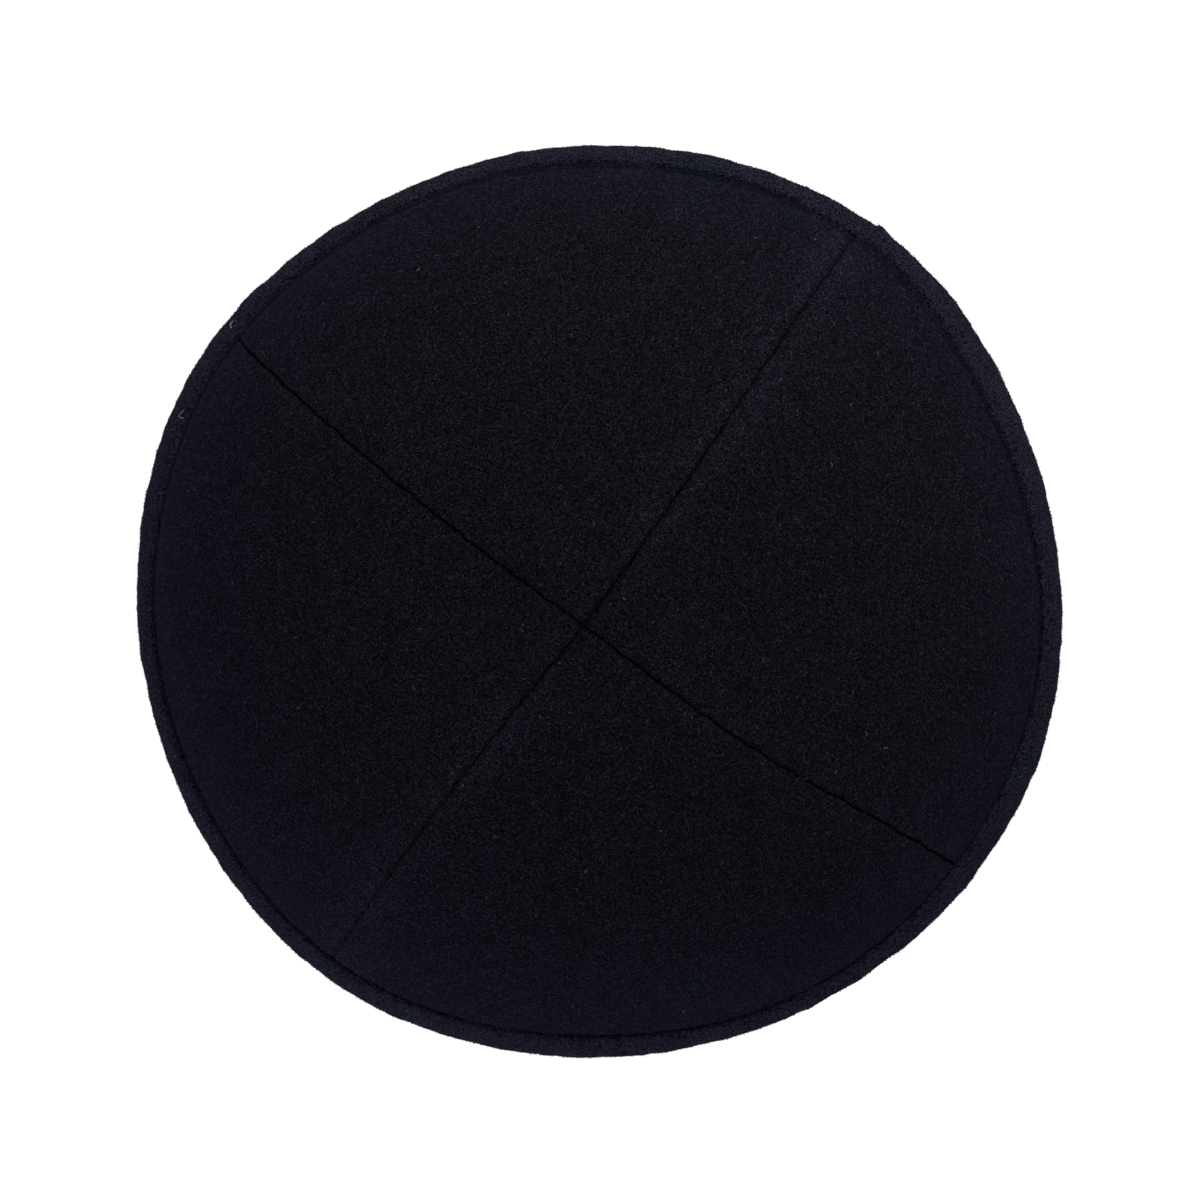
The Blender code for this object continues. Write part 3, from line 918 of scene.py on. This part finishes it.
def hairPiece(name, base, settings, seed, finish):
    made = grownPiece(name, base.data, feltHair, {**settings, "Seed": seed, "Finish": finish})
    print("hair grown:", name, len(made.data.polygons))
    return made


feltHair = hairTree()
threadRow = stitchTree()
panelHair = [
    [hairPiece("nap_" + name, made, nap, 31 + place, napFibre),
     hairPiece("flecks_" + name, made, flecks, 51 + place, fleckFibre)]
    for place, (name, made) in enumerate(zip(panel["names"], panels))]
bandHair = [hairPiece("nap_band", binding, bandNap, 41, napFibre),
            hairPiece("flecks_band", binding, flecks, 61, fleckFibre)]


def threadPath(name, points, normals):
    # a closed line of points that knows which way the felt faces under it
    joins = [(step, (step + 1) % len(points)) for step in range(len(points))]
    mesh = bpy.data.meshes.new(name)
    mesh.from_pydata(points.tolist(), joins, [])
    layer = mesh.attributes.new("surfaceNormal", "FLOAT_VECTOR", "POINT")
    layer.data.foreach_set("vector", normals.astype(np.float32).ravel())
    return mesh


def stitchRow(name, points, normals):
    path = threadPath("path of " + name, points, normals)
    made = grownPiece(name, path, threadRow, {**thread, "Finish": sewingThread})
    return made


def makeStitches():
    # outside along the ditch, where the band's edge meets the crown; inside, where the same
    # stitches come through the folded-in edge of the band
    turns = np.linspace(-math.pi, math.pi, stitch["pathPoints"], endpoint=False)
    rows = []
    for name, above, under, facing in [
            ("stitches_rim", stitch["aboveEdge"], stitch["floor"], 1),
            ("stitches_rim_inside", 0, cap["cloth"] / 2 + foldRadius, -1)]:
        x, y = planPoints(shareAboveEdge(turns, bandReach(turns) + above), turns)
        normals = crownNormals(x, y)
        points = crownPoints(x, y) - normals * under
        rows.append(stitchRow(name, points, normals * facing))
    return rows


stitchRows = makeStitches()
print("stitches made:", [len(made.data.polygons) for made in stitchRows])

# Lint: bits of light fibre caught on the felt, each laid along places in plan, in millimetres

lintLift = 0.0002  # how far its middle stands off the felt, where the table says nothing else
lint = [
    {"name": "curl", "on": "band", "finish": lintFibre, "radius": 0.00012,
     "path": [(-57.5, 61.7), (-57.9, 61.3), (-58.0, 60.9), (-57.9, 60.5)]},
    {"name": "curl_end", "on": "band", "finish": looseFibre, "radius": 0.00012,
     "path": [(-57.1, 61.8), (-56.9, 61.6)], "lift": 0.0001},
    {"name": "elbow", "on": "band", "finish": lintFibre, "radius": 0.00008,
     "path": [(-68.9, 47.1), (-69.4, 46.7), (-69.9, 46.2), (-69.6, 45.8), (-69.1, 45.8)]},
    {"name": "arc", "on": "band", "finish": looseFibre, "radius": 0.00006,
     "path": [(-73.0, 44.3), (-72.6, 43.9), (-72.0, 43.8), (-71.4, 43.9), (-71.0, 44.3)]},
    {"name": "seam_curl", "on": "right", "finish": looseFibre, "radius": 0.00006,
     "path": [(33.2, -32.9), (32.6, -33.2), (32.2, -33.6), (32.1, -34.1)]},
    {"name": "seam_hair", "on": "right", "finish": looseFibre, "radius": 0.00008,
     "path": [(33.4, -33.4), (33.9, -33.3), (34.4, -33.2)], "lift": 0.0003},
    {"name": "speck", "on": "front", "finish": lintFibre, "radius": 0.00024,
     "path": [(4.58, -75.05), (4.74, -75.05)], "lift": 0.0001},
    {"name": "ditch_thread", "on": "band", "finish": looseFibre, "radius": 0.00009,
     "path": [(65.0, 51.9), (65.5, 51.3), (66.0, 50.7)]},
    {"name": "ditch_end", "on": "band", "finish": looseFibre, "radius": 0.00007,
     "path": [(66.9, 49.1), (67.4, 48.6), (67.9, 48.0), (68.2, 47.5)]},
    {"name": "lap_thread", "on": "band", "finish": looseFibre, "radius": 0.00008,
     "path": [(61.3, 57.4), (61.7, 57.0), (62.2, 56.5)]},
    {"name": "lap_end", "on": "band", "finish": looseFibre, "radius": 0.00009,
     "path": [(63.1, 55.4), (63.6, 54.8)]},
]


def lintTree():
    # a thin round fibre along a path
    tree, given = newTree("Lint", {"Radius": "Float", "Finish": "Material"})
    path = addNode(tree, "GeometryNodeMeshToCurve", {"Mesh": given["Geometry"]})
    smooth = addNode(tree, "GeometryNodeCurveSplineType", {"Curve": path})
    smooth.node.spline_type = "CATMULL_ROM"
    circle = addNode(tree, "GeometryNodeCurvePrimitiveCircle", {
        "Resolution": 6, "Radius": given["Radius"]})
    fibre = addNode(tree, "GeometryNodeCurveToMesh", {
        "Curve": smooth, "Profile Curve": circle, "Fill Caps": True})
    return endTree(tree, fibre, given["Finish"])


def highestFelt(x, y):
    # where a bit dropped straight down lands, and which way the felt faces there
    above, down = Vector((x, y, 0.1)), Vector((0, 0, -1))
    landings = [surface.ray_cast(above, down)[:2] for surface in feltSurfaces]
    return max((hit for hit in landings if hit[0]), key=lambda hit: hit[0].z)


def makeLint(bit):
    points, lift = [], bit.get("lift", lintLift)
    for place, (x, y) in enumerate(bit["path"]):
        landed, normal = highestFelt(x / 1000, y / 1000)
        height = lift * math.sin(math.pi * (place + 0.5) / len(bit["path"]))
        points.append(landed + normal * (bit["radius"] + height))
    mesh = bpy.data.meshes.new("path of " + bit["name"])
    mesh.from_pydata(points, [(step, step + 1) for step in range(len(points) - 1)], [])
    made = grownPiece("lint_" + bit["name"], mesh, lintFibreTree, {
        "Radius": bit["radius"], "Finish": bit["finish"]})
    return made


lintFibreTree = lintTree()
feltSurfaces = [BVHTree.FromObject(made, bpy.context.evaluated_depsgraph_get())
                for made in panels + [binding]]
lintPieces = [makeLint(bit) for bit in lint]
print("lint laid:", len(lintPieces))

# Camera, floor and light

camera = {
    "distance": 0.900,
    "tilt": 5.78,  # degrees off the vertical
    "azimuth": 49.3,
    "roll": 9.0,
    "lens": 146.6,
    "aim": (0.00057, 0.00066, 0.0),
}


def makeCamera():
    tilt, side = math.radians(camera["tilt"]), math.radians(camera["azimuth"])
    back = Vector((math.sin(tilt) * math.cos(side), math.sin(tilt) * math.sin(side),
                   math.cos(tilt)))
    towards = math.radians(90 - camera["roll"])
    upward = Vector((math.cos(towards), math.sin(towards), 0))
    upward = (upward - back * upward.dot(back)).normalized()
    right = upward.cross(back)
    data = bpy.data.cameras.new("Camera")
    data.lens = camera["lens"]
    data.sensor_width = 36
    data.clip_start, data.clip_end = 0.01, 50
    made = bpy.data.objects.new("Camera", data)
    place = Vector(camera["aim"]) + back * camera["distance"]
    turned = Matrix((right, upward, back)).transposed().to_4x4()
    made.matrix_world = Matrix.Translation(place) @ turned
    bpy.context.scene.collection.objects.link(made)
    bpy.context.scene.camera = made


light = {
    "worldColour": "#ffffff",
    "world": 0.32,
    "lamps": [
        {"name": "Key", "power": 14.2, "size": 0.7, "place": (0.58, 1.02, 0.67),
         "colour": "#f4f4ff"},
        {"name": "Fill", "power": 9.5, "size": 0.9, "place": (-0.73, -1.08, 0.42),
         "colour": "#dadaff"},
    ],
}
paperLook = dict(noSheen, roughness=0.9, gloss=0.1, colour="#8c8c8c")
paper = {
    "glow": 1.0,  # lights it to plain white, as the photo's ground is
    "reach": 3.0,
    "level": -0.00005,  # just under the rim
}


def makeStudio():
    world = bpy.data.worlds.new("Studio")
    world.use_nodes = True
    backdrop = world.node_tree.nodes["Background"]
    backdrop.inputs["Color"].default_value = linearColour(light["worldColour"])
    backdrop.inputs["Strength"].default_value = light["world"]
    bpy.context.scene.world = world
    bpy.context.scene.view_settings.view_transform = "Standard"
    for source in light["lamps"]:
        lamp = bpy.data.lights.new(source["name"], "AREA")
        lamp.energy, lamp.size = source["power"], source["size"]
        lamp.color = linearColour(source["colour"])[:3]
        made, place = bpy.data.objects.new(source["name"], lamp), Vector(source["place"])
        turned = (-place).to_track_quat("-Z", "Y").to_matrix().to_4x4()
        made.matrix_world = Matrix.Translation(place) @ turned
        bpy.context.scene.collection.objects.link(made)
    finish, _, shader = newMaterial("Matt white paper", paperLook)
    shader.inputs["Base Color"].default_value = linearColour(paperLook["colour"])
    shader.inputs["Emission Color"].default_value = linearColour("#ffffff")
    shader.inputs["Emission Strength"].default_value = paper["glow"]
    corners = np.array([(x * paper["reach"], y * paper["reach"], paper["level"])
                        for x, y in ((-1, -1), (1, -1), (1, 1), (-1, 1))])
    floor = meshObject("floor", corners, [(0, 1, 2, 3)], [finish])


makeCamera()
makeStudio()
print("camera and light set")
